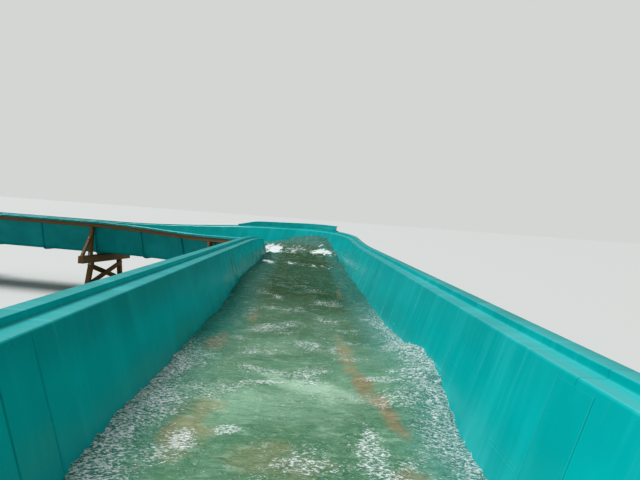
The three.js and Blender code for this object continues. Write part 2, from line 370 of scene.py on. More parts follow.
peel = node(tree, "ShaderNodeTexNoise", {"Vector": place, "Scale": 260.0, "Detail": 2.0}).outputs["Fac"]
bumped(tree, shader, plus(tree, waves, times(tree, peel, 0.012)), 0.5, 0.02)

LAMINATE = (0.004, 0.215, 0.222, 1)
LAMINATE_FADED = (0.012, 0.300, 0.305, 1)
STRAND = (0.08, 0.42, 0.42, 1)
GRIME = (0.07, 0.13, 0.10, 1)

laminate, tree, shader, place = new_material("turquoise_laminate")
fade = mask(tree, patches, Place=place, Size=0.7, Low=0.38, High=0.66)
strands = mask(tree, runs, Place=place, Stretch=(70.0, 42.0, 42.0), Low=0.35, High=0.75, Wander=3.0)
drips = mask(tree, runs, Place=place, Stretch=(7.0, 0.9, 0.9), Low=0.56, High=0.76, Wander=0.3)
colour = mixed(tree, fade, LAMINATE, LAMINATE_FADED)
colour = tinted(tree, colour, strands, 0.16, STRAND)
colour = tinted(tree, colour, drips, 0.35, GRIME)
finished(tree, shader, colour, plus(tree, times(tree, strands, 0.2), 0.48))
bumped(tree, shader, strands, 0.35, 0.0015)


def wall_at(height, offset=0.0):
    """How far across the wall is at a height, at a distance outside its wet face."""
    return wall_foot + WALL_SLOPE * height + offset * wall_lean


def both_sides(half):
    """Corners of a whole outline from those of its right half."""
    return half + [(-x, y, radius, kind) for x, y, radius, kind in reversed(half)]


def stations_between(start, end, longest):
    curved = end > BANK_START and start < BEND_END
    return np.linspace(start, end, math.ceil((end - start) / longest) + 1 if curved else 2)


WET, OUTER = 0, 1
channel_corners = both_sides([
    (wall_foot, 0, CORNER_RADIUS, WET),
    (LEDGE_INNER, LEDGE_HEIGHT, LEDGE_ROUND, WET),
    (LEDGE_OUTER, LEDGE_HEIGHT, LEDGE_HOLLOW, WET),
    (LEDGE_OUTER + DRAFT, RIM_HEIGHT, RISER_ROUND, WET),
    (RIM_HALF, RIM_HEIGHT, RIM_ROUND, WET),
    (RIM_HALF + DRAFT, RIM_HEIGHT - LIP_DEPTH, LIP_EDGE, OUTER),
    (RIM_HALF + DRAFT - SHELL, RIM_HEIGHT - LIP_DEPTH, LIP_EDGE, OUTER),
    (RIM_HALF - SHELL, RIM_HEIGHT - SHELL, RIM_HOLLOW, OUTER),
    (LEDGE_OUTER + SHELL + DRAFT, RIM_HEIGHT - SHELL, BACK_HOLLOW, OUTER),
    (LEDGE_OUTER + SHELL, LEDGE_HEIGHT - SHELL, BACK_ROUND, OUTER),
    (wall_at(LEDGE_HEIGHT - SHELL, SHELL), LEDGE_HEIGHT - SHELL, BACK_HOLLOW, OUTER),
    (wall_at(-SHELL, SHELL), -SHELL, CORNER_RADIUS + SHELL, OUTER),
])
for bay in range(1, BAYS + 1):
    start, end = (bay - 1) * BAY + JOINT_GAP / 2, bay * BAY - JOINT_GAP / 2
    shell = sweep(channel_corners, stations_between(start, end, SHELL_STEP))
    piece(f"channel_shell_{bay}", [shell], [gelcoat, laminate], [f"channel_{bay}"])

# The ribs
# Each section has a flat bolting rib at both ends and two stiffeners over a light core between, all
# laid up round the outside of its floor and walls in rough laminate.
RIB_PLATE = 0.012
RIB_TOP = LEDGE_HEIGHT - SHELL / 2
STIFFENER_DEPTH = 0.035
STIFFENER_FOOT = 0.050
STIFFENER_CROWN = 0.034
BAND_EDGE = 0.003


def band(near_offset, far_offset, top):
    """Corners of a band that follows the floor and walls between two distances outside the wet face."""
    return both_sides([
        (wall_at(-far_offset, far_offset), -far_offset, CORNER_RADIUS + far_offset, 0),
        (wall_at(top, far_offset), top, min(BAND_EDGE, (far_offset - near_offset) / 3), 0),
        (wall_at(top, near_offset), top, 0, 0),
        (wall_at(-near_offset, near_offset), -near_offset, CORNER_RADIUS + near_offset, 0),
    ])


plate_corners = band(SHELL / 2, SHELL + RIB_DEPTH, RIB_TOP)
foot_corners = band(SHELL / 2, SHELL + STIFFENER_DEPTH / 2, RIB_TOP)
crown_corners = band(SHELL / 2, SHELL + STIFFENER_DEPTH, RIB_TOP)
for bay in range(1, BAYS + 1):
    start, end = (bay - 1) * BAY, bay * BAY
    solids = [
        sweep(plate_corners, [start + JOINT_GAP / 2, start + RIB_PLATE]),
        sweep(plate_corners, [end - RIB_PLATE, end - JOINT_GAP / 2]),
    ]
    for middle in (start + BAY / 3, end - BAY / 3):
        for corners, wide in ((foot_corners, STIFFENER_FOOT), (crown_corners, STIFFENER_CROWN)):
            solids.append(sweep(corners, [middle - wide / 2, middle + wide / 2]))
    piece(f"channel_ribs_{bay}", solids, [laminate])

# The joint straps
# A wide flat strap of the same laminate covers each joint on the wet side, from ledge to ledge, and
# is bedded on sealant that shows as a thin line along both of its edges. The sealant is drawn paler
# on the right-hand wall as painted light, and darker from the second joint on as painted shade.
STRAP_WIDE = 0.240
STRAP_THICK = 0.0008
STRAP_TOP = LEDGE_HEIGHT - 0.028
BEAD_WIDE = 0.009
BEAD_HIGH = 0.0010
BEAD_OVER_STRAP = 0.003
BEDDED = 0.001
SEALANT = (0.003, 0.280, 0.285, 1)
SEALANT_DUSTY = (0.006, 0.330, 0.335, 1)
SEALANT_SHADED = (0.003, 0.095, 0.092, 1)
SEALANT_LIT = (0.012, 0.400, 0.395, 1)
SHADED_ALONG = (6.0, 9.0)
LIT_ROUND = (2.6, 1.9)

sealant, tree, shader, place = new_material("joint_sealant")
dust = mask(tree, patches, Place=place, Size=0.03, Low=0.4, High=0.7)
parts = split(tree, place)
colour = mixed(tree, dust, SEALANT, SEALANT_DUSTY)
# Painted shade: the sealant turns darker from the second joint on.
colour = mixed(tree, mapped(tree, parts["X"], *SHADED_ALONG), colour, SEALANT_SHADED)
# Painted light: the sealant is paler on the right-hand wall, where the light falls.
colour = mixed(tree, mapped(tree, parts["Y"], *LIT_ROUND, 0.0, 0.85), colour, SEALANT_LIT)
finished(tree, shader, colour, plus(tree, times(tree, dust, 0.2), 0.5))
bumped(tree, shader, dust, 0.4, 0.0008)

strap_corners = band(-STRAP_THICK, BEDDED, STRAP_TOP)
bead_corners = band(-BEAD_HIGH, BEDDED, STRAP_TOP + BEAD_OVER_STRAP)
for joint in range(1, BAYS):
    edges = (joint * BAY - STRAP_WIDE / 2, joint * BAY + STRAP_WIDE / 2)
    piece(f"joint_strap_{joint}", [sweep(strap_corners, edges)], [gelcoat])
    beads = [sweep(bead_corners, (edge - BEAD_WIDE / 2, edge + BEAD_WIDE / 2)) for edge in edges]
    piece(f"joint_sealant_{joint}", beads, [sealant])

# The splash boards
# Turquoise moulded boards stand on the bend's outer rim, where the water climbs. Each has a foot
# that is bolted down through the rim and a lip that is turned out along its top.
BOARD_HEIGHT = 0.1147
BOARD_THICK = 0.008
BOARD_FOOT = 0.062
BOARD_LIP = 0.034
BOARD_STEPS = (3, 7, 10)
BOARD_DROP = 0.080
BOARD_GAP = 0.004
BOARD_ROUND = 0.010
BOARD_HOLLOW = 0.003
BOARD_EDGE = 0.002
SEAT = 0.0009

foot_low = RIM_HEIGHT + SEAT
board_top = foot_low + BOARD_HEIGHT
board_back = RIM_HALF - BOARD_FOOT
board_corners = [
    (board_back, foot_low, BOARD_ROUND, 0),
    (RIM_HALF, foot_low, BOARD_EDGE, 0),
    (RIM_HALF, foot_low + BOARD_THICK, BOARD_EDGE, 0),
    (board_back + BOARD_THICK, foot_low + BOARD_THICK, BOARD_HOLLOW, 0),
    (board_back + BOARD_THICK, board_top - BOARD_THICK, BOARD_HOLLOW, 0),
    (board_back + BOARD_LIP, board_top - BOARD_THICK, BOARD_EDGE, 0),
    (board_back + BOARD_LIP, board_top, BOARD_EDGE, 0),
    (board_back, board_top, BOARD_ROUND, 0),
]
drop_start = BEND_START + (BOARD_STEPS[-1] - 1) * STEP
for number, (first, last) in enumerate(zip(BOARD_STEPS, BOARD_STEPS[1:]), start=1):
    start = BEND_START + first * STEP + BOARD_GAP / 2
    end = BEND_START + last * STEP - BOARD_GAP / 2
    board = sweep(board_corners, stations_between(start, end, SHELL_STEP))
    points, marks = board[0], board[2]
    over_foot = marks[:, 2] > foot_low + 2 * BOARD_THICK
    points[over_foot, 2] -= BOARD_DROP * np.maximum(marks[over_foot, 0] - drop_start, 0) / STEP
    piece(f"splash_board_shell_{number}", [board], [gelcoat], [f"splash_board_{number}"])

# The channel's bolts
# Galvanised hexagon heads on washers: down through the boards' feet, through the lips into the
# planks, and in pairs through the ribs on both sides of every joint.
ZINC = (0.42, 0.44, 0.45, 1)
ZINC_PALE = (0.55, 0.57, 0.58, 1)
ZINC_DULL = (0.26, 0.27, 0.27, 1)
# Outlines as radius and distance out, in shares of the thread's diameter
WASHER = ((1.25, 0.16), (1.10, 0.22))
BOLT_HEAD = ((0.98, 0.15), (0.98, 0.80), (0.80, 0.90))
WASHER_SIDES = 18
WASHER_SUNK = 0.0005

galvanised, tree, shader, place = new_material("galvanised_steel")
spangle = node(tree, "ShaderNodeTexVoronoi", {"Vector": place, "Scale": 160.0}).outputs["Color"]
dull = mask(tree, patches, Place=place, Size=0.02, Low=0.35, High=0.7)
colour = tinted(tree, mixed(tree, spangle, ZINC, ZINC_PALE), dull, 0.4, ZINC_DULL)
finished(tree, shader, colour, plus(tree, times(tree, dull, 0.25), 0.38))
shader.inputs["Metallic"].default_value = 1.0
bumped(tree, shader, dull, 0.2, 0.0003)


def turned_solid(foot, axis, outline, sides, spin=0.0):
    """A closed solid of (radius, distance out) rings about an axis that starts at a foot."""
    first = axis.orthogonal().normalized()
    second = axis.cross(first)
    angles = spin + math.tau * np.arange(sides) / sides
    spokes = np.cos(angles)[:, None] * np.array(first) + np.sin(angles)[:, None] * np.array(second)
    rings = np.array([np.array(foot) + np.array(axis) * out + spokes * radius for radius, out in outline])
    return skinned(rings, rings)


def bolt(foot, axis, size, spin):
    """A hexagon head on a round washer. Size is the thread's diameter."""
    washer = [(size * radius, size * out) for radius, out in WASHER]
    washer.insert(0, (washer[0][0], -WASHER_SUNK))
    head = [(size * radius, size * out) for radius, out in BOLT_HEAD]
    return [turned_solid(foot, axis, washer, WASHER_SIDES), turned_solid(foot, axis, head, 6, spin)]


def route_axes(station):
    """The directions across, along and up at a station, in the row frame."""
    here = laid(station, 0.0, 0.0)
    across = Vector(laid(station, 0.1, 0.0) - here).normalized()
    along = Vector(laid(station + 0.005, 0.0, 0.0) - here).normalized()
    return across, along, across.cross(along).normalized()


BOARD_BOLT = 0.010
BOARD_BOLT_PITCH = 0.305
BOARD_BOLT_INSET = 0.026
BOARD_BOLT_TURN = 0.7
board_bolts = []
for first, last in zip(BOARD_STEPS, BOARD_STEPS[1:]):
    start, end = BEND_START + first * STEP, BEND_START + last * STEP
    count = round((end - start) / BOARD_BOLT_PITCH)
    for k in range(count):
        station = start + (k + 0.5) * (end - start) / count
        foot = laid(station, RIM_HALF - BOARD_BOLT_INSET, foot_low + BOARD_THICK)
        board_bolts += bolt(foot, route_axes(station)[2], BOARD_BOLT, BOARD_BOLT_TURN * k)
piece("splash_board_bolts", board_bolts, [galvanised])

LIP_BOLT = 0.012
LIP_BOLT_PITCH = 0.61
LIP_BOLT_DROP = 0.032
LIP_BOLT_TURN = 0.4
LIP_BOLT_OUT = RIM_HALF + DRAFT * 0.6
for bay in range(1, BAYS + 1):
    lip_bolts = []
    for k in range(round(BAY / LIP_BOLT_PITCH)):
        station = (bay - 1) * BAY + (k + 0.5) * LIP_BOLT_PITCH
        across = route_axes(station)[0]
        for side in (-1, 1):
            foot = laid(station, side * LIP_BOLT_OUT, RIM_HEIGHT - LIP_BOLT_DROP)
            lip_bolts += bolt(foot, across * side, LIP_BOLT, LIP_BOLT_TURN * k)
    piece(f"lip_bolts_{bay}", lip_bolts, [galvanised])

RIB_BOLT = 0.016
RIB_BOLT_TURN = 0.9
RIB_BOLT_OUT = SHELL + 0.034
RIB_BOLTS_ACROSS = (-0.34, -0.17, 0.0, 0.17, 0.34)
RIB_BOLTS_UP = (0.16, 0.33, 0.50, 0.67)
rib_bolt_places = [(across, -RIB_BOLT_OUT) for across in RIB_BOLTS_ACROSS]
for height in RIB_BOLTS_UP:
    rib_bolt_places += [(side * wall_at(height, RIB_BOLT_OUT), height) for side in (-1, 1)]
for joint in range(1, BAYS):
    along = route_axes(joint * BAY)[1]
    rib_bolts = []
    for k, (across, height) in enumerate(rib_bolt_places):
        for way in (-1, 1):
            foot = laid(joint * BAY + way * RIB_PLATE, across, height)
            rib_bolts += bolt(foot, along * way, RIB_BOLT, RIB_BOLT_TURN * k)
    piece(f"rib_bolts_{joint}", rib_bolts, [galvanised])

# The stringers
# Treated softwood planks on edge, one under each rim of every section, with their tops hidden by the
# turned-down lips.
STRINGER_WIDE = 0.050
STRINGER_DEEP = 0.145
PLANK_STEP = 0.15
TIMBER_EDGE = 0.005
EARLY_WOOD = (0.215, 0.135, 0.080, 1)
LATE_WOOD = (0.135, 0.080, 0.046, 1)
FIBRE = (0.29, 0.21, 0.14, 1)
SILVERED = (0.225, 0.195, 0.165, 1)
GRAIN_SEED = 7
GRAIN_MOVE = 9
GRAIN_MOVE_SHARES = (1, 0.02, 0.02)

timber, tree, shader, place = new_material("treated_timber")
round_pith = node(tree, "ShaderNodeVectorMath", {0: place, 1: (0.6, 30.0, 30.0)}, operation="MULTIPLY")
rings = node(tree, "ShaderNodeTexWave", {
    "Vector": round_pith.outputs["Vector"], "Scale": 1.3, "Distortion": 3.5, "Detail": 2.5,
}, wave_type="RINGS", rings_direction="X").outputs["Fac"]
fibres = mask(tree, runs, Place=place, Stretch=(5.0, 170.0, 170.0), Low=0.35, High=0.7, Wander=0.2)
silvered = mask(tree, patches, Place=place, Size=0.5, Low=0.42, High=0.68)
colour = tinted(tree, mixed(tree, rings, EARLY_WOOD, LATE_WOOD), fibres, 0.35, FIBRE)
colour = tinted(tree, colour, silvered, 0.45, SILVERED)
finished(tree, shader, colour, plus(tree, times(tree, fibres, 0.12), 0.68))
bumped(tree, shader, plus(tree, fibres, times(tree, rings, 0.5)), 0.5, 0.0015)

rng = np.random.default_rng(GRAIN_SEED)


def own_grain(solid):
    """The same timber with its marks moved, so that no two timbers show the same grain."""
    points, faces, marks, kinds = solid
    return points, faces, marks + rng.uniform(-GRAIN_MOVE, GRAIN_MOVE, 3) * GRAIN_MOVE_SHARES, kinds


plank_top = RIM_HEIGHT - SHELL - SEAT
plank_middle = (LEDGE_OUTER + DRAFT + RIM_HALF) / 2
for bay in range(1, BAYS + 1):
    stations = stations_between((bay - 1) * BAY + JOINT_GAP, bay * BAY - JOINT_GAP, PLANK_STEP)
    for name, side in (("left", -1), ("right", 1)):
        left = side * plank_middle - STRINGER_WIDE / 2
        right = side * plank_middle + STRINGER_WIDE / 2
        plank = sweep([
            (left, plank_top - STRINGER_DEEP, TIMBER_EDGE, 0),
            (right, plank_top - STRINGER_DEEP, TIMBER_EDGE, 0),
            (right, plank_top, TIMBER_EDGE, 0),
            (left, plank_top, TIMBER_EDGE, 0),
        ], stations)
        piece(f"{name}_plank_{bay}", [own_grain(plank)], [timber], [f"{name}_stringer_{bay}"])

# The bents
# A bent of treated timber stands under each joint and each end: two raking legs on the sill with
# cross braces, a cap beam, and an upright and an outrigger strut at each end of it to steady the
# planks.
GROUND = -1.300
SILL_HIGH = 0.180
SILL_TOP = GROUND + SILL_HIGH
CAP_TOP = -SHELL - RIB_DEPTH - SEAT
CAP_DEEP = 0.200
CAP_WIDE = 0.150
CAP_HALF = 1.450
UPRIGHT_MIDDLE = 0.930
UPRIGHT_WIDE = 0.100
STRUT_FOOT = 1.3875
STRUT_HEAD = 0.494
STRUT_DEEP = 0.076
STRUT_WIDE = 0.080
LEG_WIDE = 0.120
LEG_TOP = 0.850
LEG_FOOT = 1.010
LEG_SEAT = 0.0003
BRACE_DEEP = 0.132
BRACE_END = 0.79 * BRACE_DEEP
BRACE_THICK = 0.040
NOTCH = 0.010
END_BENT_INSET = 0.081


def block(start, end, depth_way, deep, wide, cut_start, cut_end):
    """A sawn timber with eased edges from one end's middle to the other's, cut along two planes."""
    axis = (end - start).normalized()
    side = axis.cross(depth_way).normalized()
    down = side.cross(axis)
    outline, _ = rounded([
        (x * wide / 2, y * deep / 2, TIMBER_EDGE, 0) for x, y in ((-1, -1), (1, -1), (1, 1), (-1, 1))
    ])
    rings, marks = [], []
    for middle, cut, inset, shrink in (
        (start, cut_start, 0.0, TIMBER_EDGE / 2), (start, cut_start, TIMBER_EDGE / 2, 0.0),
        (end, cut_end, -TIMBER_EDGE / 2, 0.0), (end, cut_end, 0.0, TIMBER_EDGE / 2),
    ):
        ring = []
        for x, y in outline:
            x -= math.copysign(min(shrink, abs(x)), x)
            y -= math.copysign(min(shrink, abs(y)), y)
            spot = side * x + down * y
            ring.append(middle + spot + axis * (inset - spot.dot(cut) / axis.dot(cut)))
            marks.append(((ring[-1] - start).dot(axis), x, y))
        rings.append(ring)
    return own_grain(skinned(np.array(rings), np.array(marks)))


def bent_point(station, across, height, ahead=0.0, follows=1.0):
    """A point of a bent in the row frame. Its head follows the bank and the fall, and its foot doesn't."""
    out, onward, _ = route_axes(station)
    out.z = onward.z = 0
    spot = Vector(laid(station, 0.0, 0.0)) + out.normalized() * across + onward.normalized() * ahead
    lift = bank(station) * across / RIM_HALF - FALL * ease(station, BEND_START, BEND_END)
    spot.z = floor_z + height + follows * float(lift)
    return spot


up = Vector((0, 0, 1))
cap_bottom = CAP_TOP - CAP_DEEP
leg_high = cap_bottom - SEAT
leg_low = SILL_TOP + LEG_SEAT
brace_low = leg_low + BRACE_END
brace_high = leg_high - BRACE_END
upright_top = RIM_HEIGHT - SHELL - STRINGER_DEEP - 2 * SEAT


def share_at(height):
    return (height - SILL_TOP) / (cap_bottom - SILL_TOP)


bent_stations = [min(max(k * BAY, END_BENT_INSET), ROUTE_END - END_BENT_INSET) for k in range(BAYS + 1)]
for number, station in enumerate(bent_stations, start=1):
    out = (bent_point(station, 1, 0, follows=0) - bent_point(station, 0, 0, follows=0)).normalized()
    tilted = (bent_point(station, 1, 0) - bent_point(station, 0, 0)).normalized()
    cap_up = tilted.cross(up.cross(out)).normalized()
    middle = CAP_TOP - CAP_DEEP / 2
    yoke = [block(
        bent_point(station, -CAP_HALF, middle), bent_point(station, CAP_HALF, middle),
        up, CAP_DEEP, CAP_WIDE, out, out,
    )]
    for side in (-1, 1):
        yoke.append(block(
            bent_point(station, side * UPRIGHT_MIDDLE, CAP_TOP - NOTCH),
            bent_point(station, side * UPRIGHT_MIDDLE, upright_top),
            out, UPRIGHT_WIDE, UPRIGHT_WIDE, cap_up, cap_up,
        ))
        yoke.append(block(
            bent_point(station, side * STRUT_FOOT, CAP_TOP - NOTCH),
            bent_point(station, side * (UPRIGHT_MIDDLE + UPRIGHT_WIDE / 2 - NOTCH), STRUT_HEAD),
            up, STRUT_DEEP, STRUT_WIDE, cap_up, out,
        ))
    piece(f"yoke_timbers_{number}", yoke, [timber], [f"yoke_{number}"])

    legs = []
    for side in (-1, 1):
        legs.append(block(
            bent_point(station, side * LEG_FOOT, leg_low, follows=0),
            bent_point(station, side * LEG_TOP, leg_high, follows=share_at(leg_high)),
            out, LEG_WIDE, LEG_WIDE, up, cap_up,
        ))
        offset = -side * ((LEG_WIDE + BRACE_THICK) / 2 - NOTCH)
        legs.append(block(
            bent_point(station, -side * LEG_FOOT, brace_low, offset, share_at(brace_low)),
            bent_point(station, side * LEG_TOP, brace_high, offset, share_at(brace_high)),
            up, BRACE_DEEP, BRACE_THICK, out, out,
        ))
    piece(f"leg_timbers_{number}", legs, [timber], [f"legs_{number}"])

# The ironwork
# Folded galvanised angles hold the uprights and the legs to the cap beam and the legs to the sill.
# Bolts go through both flanges, through the ends of the braces and down through the struts.
ANGLE_FLANGE = 0.075
ANGLE_THICK = 0.006
ANGLE_WIDE = 0.070
ANGLE_FOLD = 0.006
ANGLE_OUTER_EDGE = 0.001
ANGLE_INNER_EDGE = 0.002
FLANGE_BOLT = 0.012
FLANGE_BOLT_AT = 0.046
FLANGE_BOLT_SEAT = 0.99
TIMBER_BOLT = 0.016
BRACE_BOLT_LOW = 0.985
BRACE_BOLT_HIGH = 1.015
STRUT_BOLTS = (0.12, 0.84)


def angle_bracket(corner, first, second):
    """A folded angle in the corner between two timbers, with a bolt through each flange."""
    way = first.cross(second).normalized()
    outline, _ = rounded([
        (0, 0, 0, 0),
        (ANGLE_FLANGE, 0, ANGLE_OUTER_EDGE, 0),
        (ANGLE_FLANGE, ANGLE_THICK, ANGLE_INNER_EDGE, 0),
        (ANGLE_THICK, ANGLE_THICK, ANGLE_FOLD, 0),
        (ANGLE_THICK, ANGLE_FLANGE, ANGLE_INNER_EDGE, 0),
        (0, ANGLE_FLANGE, ANGLE_OUTER_EDGE, 0),
    ])
    rings = np.array([
        [corner + first * x + second * y + way * reach for x, y in outline]
        for reach in (-ANGLE_WIDE / 2, ANGLE_WIDE / 2)
    ])
    parts = [skinned(rings, rings)]
    for flange, other in ((first, second), (second, first)):
        out = flange.cross(way) if flange.cross(way).dot(other) > 0 else way.cross(flange)
        foot = corner + flange * FLANGE_BOLT_AT + out * ANGLE_THICK * FLANGE_BOLT_SEAT
        parts += bolt(foot, out, FLANGE_BOLT, rng.uniform(0, 1))
    return parts


for number, station in enumerate(bent_stations, start=1):
    ironwork = []
    onward = (bent_point(station, 0, 0, 1) - bent_point(station, 0, 0)).normalized()
    for side in (-1, 1):
        cap_high = bent_point(station, side * UPRIGHT_MIDDLE, CAP_TOP)
        cap_out = (bent_point(station, side * (UPRIGHT_MIDDLE + 0.1), CAP_TOP) - cap_high).normalized()
        for way in (-1, 1):
            corner = bent_point(station, side * (UPRIGHT_MIDDLE + way * UPRIGHT_WIDE / 2), CAP_TOP)
            ironwork += angle_bracket(corner, cap_out * way, up)
        leg_head = bent_point(station, side * LEG_TOP, leg_high, follows=share_at(leg_high))
        leg_foot = bent_point(station, side * LEG_FOOT, leg_low, follows=0)
        leg_way = (leg_foot - leg_head).normalized()
        level_out = Vector((cap_out.x, cap_out.y, 0)).normalized()
        square_to_leg = level_out - leg_way * leg_way.dot(level_out)
        beside = level_out * (LEG_WIDE / 2 / level_out.dot(square_to_leg) ** 0.5)
        ironwork += angle_bracket(leg_head + beside, cap_out, leg_way)
        ironwork += angle_bracket(leg_foot + beside, level_out, -leg_way)
        ironwork += angle_bracket(leg_foot - beside, -level_out, -leg_way)
        face = -side * (LEG_WIDE / 2 + BRACE_THICK - NOTCH)
        for across, height in (
            (-side * LEG_FOOT * BRACE_BOLT_LOW, brace_low), (side * LEG_TOP * BRACE_BOLT_HIGH, brace_high),
        ):
            foot = bent_point(station, across, height, face, share_at(height))
            ironwork += bolt(foot, onward * math.copysign(1, face), TIMBER_BOLT, rng.uniform(0, 1))
        strut_low = bent_point(station, side * STRUT_FOOT, CAP_TOP)
        strut_high = bent_point(station, side * (UPRIGHT_MIDDLE + UPRIGHT_WIDE / 2), STRUT_HEAD)
        strut_out = (strut_high - strut_low).cross(onward).normalized()
        strut_out *= math.copysign(1, strut_out.z)
        for share in STRUT_BOLTS:
            foot = strut_low.lerp(strut_high, share) + strut_out * STRUT_DEEP / 2
            ironwork += bolt(foot, strut_out, FLANGE_BOLT, rng.uniform(0, 1))
    piece(f"bent_ironwork_{number}", ironwork, [galvanised])

# The sills
# Cast concrete sleepers at the foot of the trestle, one under each bent, with chamfered top edges.
# They are cast in a form, and the weight on them holds them in place.
SILL_CHAMFER = 0.006
DAMP_TOP = 0.09
CONCRETE = (0.34, 0.33, 0.30, 1)
CONCRETE_PALE = (0.45, 0.44, 0.41, 1)
SPECKLE = (0.24, 0.235, 0.22, 1)
DAMP = (0.17, 0.17, 0.145, 1)

concrete, tree, shader, _ = new_material("cast_concrete")
spot = node(tree, "ShaderNodeTexCoord").outputs["Object"]
mottle = mask(tree, patches, Place=spot, Size=0.35, Low=0.35, High=0.7)
speckle = mask(tree, patches, Place=spot, Size=0.012, Low=0.45, High=0.62)
damp = mapped(tree, split(tree, spot)["Z"], DAMP_TOP, 0.0)
pits = node(tree, "ShaderNodeTexVoronoi", {"Vector": spot, "Scale": 38.0}).outputs["Distance"]
colour = tinted(tree, mixed(tree, mottle, CONCRETE, CONCRETE_PALE), speckle, 0.25, SPECKLE)
colour = tinted(tree, colour, damp, 0.45, DAMP)
tree.links.new(colour, shader.inputs["Base Color"])
shader.inputs["Roughness"].default_value = 0.88
bumped(tree, shader, plus(tree, mapped(tree, pits, 0.0, 0.25), speckle), 0.5, 0.003)

for number in range(1, len(bent_stations) + 1):
    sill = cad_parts[f"sill_{number}"]
    sill.data.materials.clear()
    sill.data.materials.append(concrete)
    edge = sill.modifiers.new("eased_edges", "BEVEL")
    edge.width = SILL_CHAMFER
    edge.segments = 3
    edge.limit_method = "ANGLE"

# The water
# Shallow green water, pumped round the channel. It runs smooth down the middle, ruffles along both
# walls, climbs the outer wall in the bend and breaks white where the bend begins.
WATER_DEPTH = 0.434
WATER_UNDER = 0.300
BEDDED_WATER = 0.004
WATER_LINES = 65
WATER_STEP = 0.05
NEAR_WATER = (4.4, 9.6)
NEAR_WATER_STEP = 0.022
WAVE_SEED = 11
WAVES = 60
WAVE_LENGTHS = (0.09, 0.75)
SWELL_HEIGHT = 0.006
CHOP_HEIGHT = 0.004
CHOP_BY_WALLS = 0.009
CLIMB = 0.27
CLIMB_RISES = (15.3, 16.8)
CLIMB_EASES = (17.4, 19.8)
CLIMB_ENDS = (20, 24)
BACKED_UP = 0.09
BACKED_UP_FROM = (8.0, 10.5)
BACKED_UP_TO = (16.5, 18.5)
# Single waves and dips: height, station, length
RIGHT_WAVE = (0.110, 6.38, 0.85)
RIGHT_WAVE_BACK = 0.45
RIGHT_WAVE_SLANT = 0.7
RIGHT_DIP = (0.025, 5.35, 0.35)
LEFT_DIP = (0.022, 4.92, 0.28)
RISE_BEFORE_JUMP = (0.055, 13.90, 0.30)
DIP_BEFORE_JUMP = (0.045, 14.60, 0.35)
JUMP = (0.060, 15.45, 0.42)
JUMP_CHOP = (0.016, 15.45, 0.90)

rng = np.random.default_rng(WAVE_SEED)
wave_lengths = rng.uniform(*WAVE_LENGTHS, WAVES)
wave_ways = rng.uniform(0, math.tau, WAVES)
wave_shifts = rng.uniform(0, math.tau, WAVES)


def swell(station, across):
    """Slow crossing waves, about one unit high."""
    total = np.zeros(np.broadcast(station, across).shape)
    for length, way, shift in zip(wave_lengths, wave_ways, wave_shifts):
        travel = station * math.cos(way) + across * math.sin(way)
        total += length * np.sin(math.tau * travel / length + shift)
    return total / 3


def chop(station, across):
    """Short steep ruffles, about one unit high."""
    total = np.zeros(np.broadcast(station, across).shape)
    for length, way, shift in zip(wave_lengths[::3] * 0.35, wave_ways[::3], wave_shifts[::3]):
        travel = station * math.cos(way) + across * math.sin(way)
        total += 0.64 - np.abs(np.sin(math.pi * travel / length + shift))
    return total / 4


def hump(at, high, middle, length):
    return high * np.exp(-(((at - middle) / length) ** 2))


def water_level(station, across):
    side = across / wall_at(WATER_DEPTH)
    to_left, to_right = np.clip((1 - side) / 2, 0, 1), np.clip((1 + side) / 2, 0, 1)
    risen = ease(station, *CLIMB_RISES) - 0.8 * ease(station, *CLIMB_EASES) - 0.2 * ease(station, *CLIMB_ENDS)
    climb = CLIMB * risen * side * (0.7 + 0.3 * np.abs(side))
    backed_up = BACKED_UP * ease(station, *BACKED_UP_FROM) * (1 - ease(station, *BACKED_UP_TO)) * to_left**1.5
    slanted = station + RIGHT_WAVE_SLANT * (1 - side)
    high, crest, front = RIGHT_WAVE
    wave = hump(slanted, high, crest, np.where(slanted > crest, front, RIGHT_WAVE_BACK)) * to_right**3
    wave -= hump(slanted, *RIGHT_DIP) * to_right**2 + hump(station, *LEFT_DIP) * to_left**3
    jump = hump(station, *RISE_BEFORE_JUMP) - hump(station, *DIP_BEFORE_JUMP) + hump(station, *JUMP)
    rough = CHOP_HEIGHT + CHOP_BY_WALLS * ease(np.abs(side), 0.55, 0.95) + hump(station, *JUMP_CHOP)
    ripples = SWELL_HEIGHT * swell(station, across) + rough * chop(station, across)
    return WATER_DEPTH + climb + backed_up + wave + jump + ripples


stations = np.concatenate([
    np.arange(BEDDED_WATER, NEAR_WATER[0], WATER_STEP),
    np.arange(NEAR_WATER[0], NEAR_WATER[1], NEAR_WATER_STEP),
    np.arange(NEAR_WATER[1], ROUTE_END - BEDDED_WATER, WATER_STEP),
])[:, None]
share = np.linspace(-1, 1, WATER_LINES)
right_edge = wall_at(water_level(stations, wall_at(WATER_DEPTH)), BEDDED_WATER)
left_edge = wall_at(water_level(stations, -wall_at(WATER_DEPTH)), BEDDED_WATER)
top_across = share * np.where(share > 0, right_edge, left_edge)
under, _ = rounded([
    (wall_at(WATER_UNDER, BEDDED_WATER), WATER_UNDER, 0, 0),
    (wall_at(-BEDDED_WATER, BEDDED_WATER), -BEDDED_WATER, CORNER_RADIUS + BEDDED_WATER, 0),
    (-wall_at(-BEDDED_WATER, BEDDED_WATER), -BEDDED_WATER, CORNER_RADIUS + BEDDED_WATER, 0),
    (-wall_at(WATER_UNDER, BEDDED_WATER), WATER_UNDER, 0, 0),
])
under_shape = (len(stations), len(under))
under_across, under_height = (np.broadcast_to(values, under_shape) for values in under.T)
across = np.concatenate([top_across, under_across], axis=1)
height = np.concatenate([water_level(stations, top_across), under_height], axis=1)
marks = np.stack(np.broadcast_arrays(stations, across, height), axis=-1)

